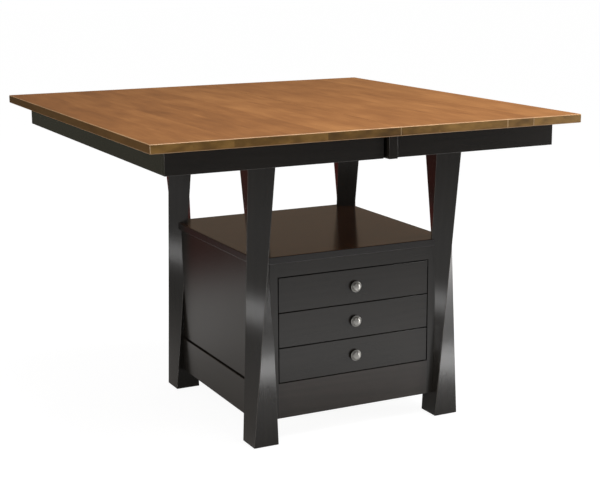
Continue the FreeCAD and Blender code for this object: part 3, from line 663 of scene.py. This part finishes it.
def stage():
    """A pale floor that keeps a soft shadow and fades into white.

    Reflections see it dimmer, with a trace of gloss, and its far back by its own glow alone.
    """
    bpy.ops.mesh.primitive_plane_add(size=FLOOR_SIZE)
    floor = bpy.context.object
    floor.name = "studio_floor"
    material, output = bare_material("studio_floor")
    seen, glossy = seen_rays(material)
    mirrored, back = floor_in_reflections(material)
    pale = add(material, "Math", {0: seen, 1: FLOOR_GLOW}, operation="MULTIPLY")
    shown = add(material, "Mix", {"Factor": glossy, "A": pale.outputs[0], "B": mirrored}, data_type="RGBA")
    glow = add(material, "Emission", {"Color": shown.outputs["Result"]})
    unlit = add(material, "Math", {0: back, 1: glossy}, operation="MULTIPLY")
    grey = add(material, "Mix", {"Factor": unlit.outputs[0], "A": linear("8C8C8C"), "B": linear("000000")},
               data_type="RGBA")
    paper = add(material, "BsdfDiffuse", {"Color": grey.outputs["Result"]})
    ahead = add(material, "Math", {0: glossy, 1: unlit.outputs[0]}, operation="SUBTRACT")
    shine = add(material, "Math", {0: ahead.outputs[0], 1: FLOOR_POLISH}, operation="MULTIPLY")
    polish = add(material, "BsdfAnisotropic", {"Color": shine.outputs[0], "Roughness": 0.15})
    both = add(material, "AddShader", {0: paper.outputs[0], 1: glow.outputs[0]})
    all_three = add(material, "AddShader", {0: both.outputs[0], 1: polish.outputs[0]})
    lead(material, all_three.outputs[0], output)
    floor.data.materials.append(material)


# How bright the room is to the eye, and as light on the table
ROOM_SEEN, ROOM_LIGHT = 1.0, 0.25
# How much darker reflections see it, low down and higher up, and where they start to see it warmer
DARK_LOW = {"From Min": 0.05, "From Max": 0.17, "To Min": -0.22, "To Max": -0.05}
WARM_BEHIND = {"From Min": 0.2, "From Max": 0.6}


def room():
    """An even room. Reflections see it darker, most of all low down, and warmer behind the table."""
    world = bpy.data.worlds.new("studio")
    bpy.context.scene.world = world
    world.use_nodes = True
    world.node_tree.nodes.clear()
    seen, glossy = seen_rays(world)
    level = add(world, "Math", {0: seen, 1: ROOM_SEEN - ROOM_LIGHT, 2: ROOM_LIGHT}, operation="MULTIPLY_ADD")
    spot = add(world, "TexCoord")
    parts = add(world, "SeparateXYZ", {0: spot.outputs["Generated"]}).outputs
    darker = add(world, "MapRange", {"Value": parts["Z"], **DARK_LOW})
    level = add(world, "Math", {0: glossy, 1: darker.outputs[0], 2: level.outputs[0]},
                operation="MULTIPLY_ADD")
    behind = add(world, "MapRange", {"Value": parts["Y"], **WARM_BEHIND})
    warm = add(world, "Math", {0: behind.outputs[0], 1: glossy}, operation="MULTIPLY")
    tint = add(world, "Mix", {"Factor": warm.outputs[0], "A": linear("FFFFFF"), "B": linear("FFE4C8")},
               data_type="RGBA")
    glow = add(world, "Background", {"Color": tint.outputs["Result"], "Strength": level.outputs[0]})
    lead(world, glow.outputs[0], add(world, "OutputWorld"))


# Soft boxes: name, place, width and height in metres, power in watts
LAMPS = (("over_right", (0.55, -0.95, 2.9), 2.2, 2.2, 66),
         ("low_right", (3.16, -1.78, 0.7), 0.9, 1.0, 36),
         ("low_left", (-3.34, -1.35, 0.7), 0.9, 0.9, 28))
LAMPS_AIM = Vector((0.1, 0, 0.46))    # about the middle of the table


def lamps():
    """A large soft box overhead, to the front and right, and a smaller one low down on each side."""
    for name, place, width, height, power in LAMPS:
        light = bpy.data.lights.new(name, "AREA")
        light.shape, light.size, light.size_y, light.energy = "RECTANGLE", width, height, power
        lamp = bpy.data.objects.new(name, light)
        bpy.context.scene.collection.objects.link(lamp)
        lamp.visible_camera = False
        lamp.location = place
        aim = LAMPS_AIM - lamp.location
        lamp.rotation_euler = aim.to_track_quat("-Z", "Y").to_euler()


def camera():
    """The photo's camera: it looks down a little, leans slightly, and has a short telephoto lens."""
    lens = bpy.data.cameras.new("camera")
    lens.sensor_width = SENSOR
    lens.lens = FOCAL_PIXELS / PHOTO_WIDTH * SENSOR
    eye = bpy.data.objects.new("camera", lens)
    bpy.context.scene.collection.objects.link(eye)
    turn = (Matrix.Rotation(math.radians(-AZIMUTH), 4, "Z") @ Matrix.Rotation(math.radians(90 - TILT), 4, "X")
            @ Matrix.Rotation(math.radians(ROLL), 4, "Z"))
    eye.matrix_world = Matrix.Translation(EYE) @ turn
    bpy.context.scene.camera = eye


bpy.context.scene.view_settings.view_transform = "Standard"
stage()
room()
lamps()
camera()

dark = {axis: espresso(axis) for axis in "XYZ"}
pale = {axis: natural_maple(axis) for axis in "XY"}
planks, plywood = top_maple(), birch_plywood()
nickel, steel, nylon = satin_nickel(), zinc_steel(), glide_nylon()

for hand in HANDS:
    paint(f"top_{hand}", planks)
    eased(f"apron_end_{hand}", dark["Y"], BOARD_ARRIS)
    paint(f"corner_blocks_{hand}", pale["X"])
    paint(f"slide_runners_{hand}", pale["X"])
    eased(f"bottom_rail_{hand}", dark["Y"], RAIL_ARRIS)
    paint(f"cabinet_{hand}_panel", dark["Z"])
    paint(f"face_stile_{hand}", dark["Z"])
    for end in ENDS:
        twisted_leg(f"leg_{end}_{hand}", dark["Z"])
        eased(f"apron_{end}_{hand}", dark["X"], BOARD_ARRIS)
for end in ENDS:
    eased(f"seam_block_{end}", dark["Z"], BLOCK_ARRIS)
    seam_lath(end, dark["Z"])
    paint(f"frame_rail_{end}", dark["X"])
    paint(f"lock_lever_{end}", steel)
# A dark strip in the top's seam stands in for the shade there
seam_shade_strip(dark["Y"])
eased("bottom_rail_back", dark["X"], RAIL_ARRIS)
paint("cabinet_back_panel", dark["Z"])
paint("frame_end_rails", dark["Y"])
paint("cabinet_top", polished_espresso())
paint("face_top_rail", dark["X"])
# The low front rail has the espresso with a painted reflection of the floor
paint("face_bottom_rail", espresso_painted_reflection())
paint("cabinet_floor", plywood)
paint("slide_cores", pale["X"])
paint("table_pins", pale["X"])
paint("drawer_cleats", pale["Y"])
paint("floor_glides", nylon)
for node in ("drawer_slide_outers", "lock_plates", "lock_keepers"):
    paint(node, steel)
for drawer in DRAWERS:
    eased(f"{drawer}_drawer_front", dark["X"], FRONT_ARRIS, gleam=0.0)
    paint(f"{drawer}_drawer_box", pale["Y"])
    paint(f"{drawer}_drawer_bottom", plywood)
    paint(f"{drawer}_drawer_channels", steel)
    paint(f"{drawer}_slide_carriages", steel)
    turned_knob(f"{drawer}_knob", nickel)
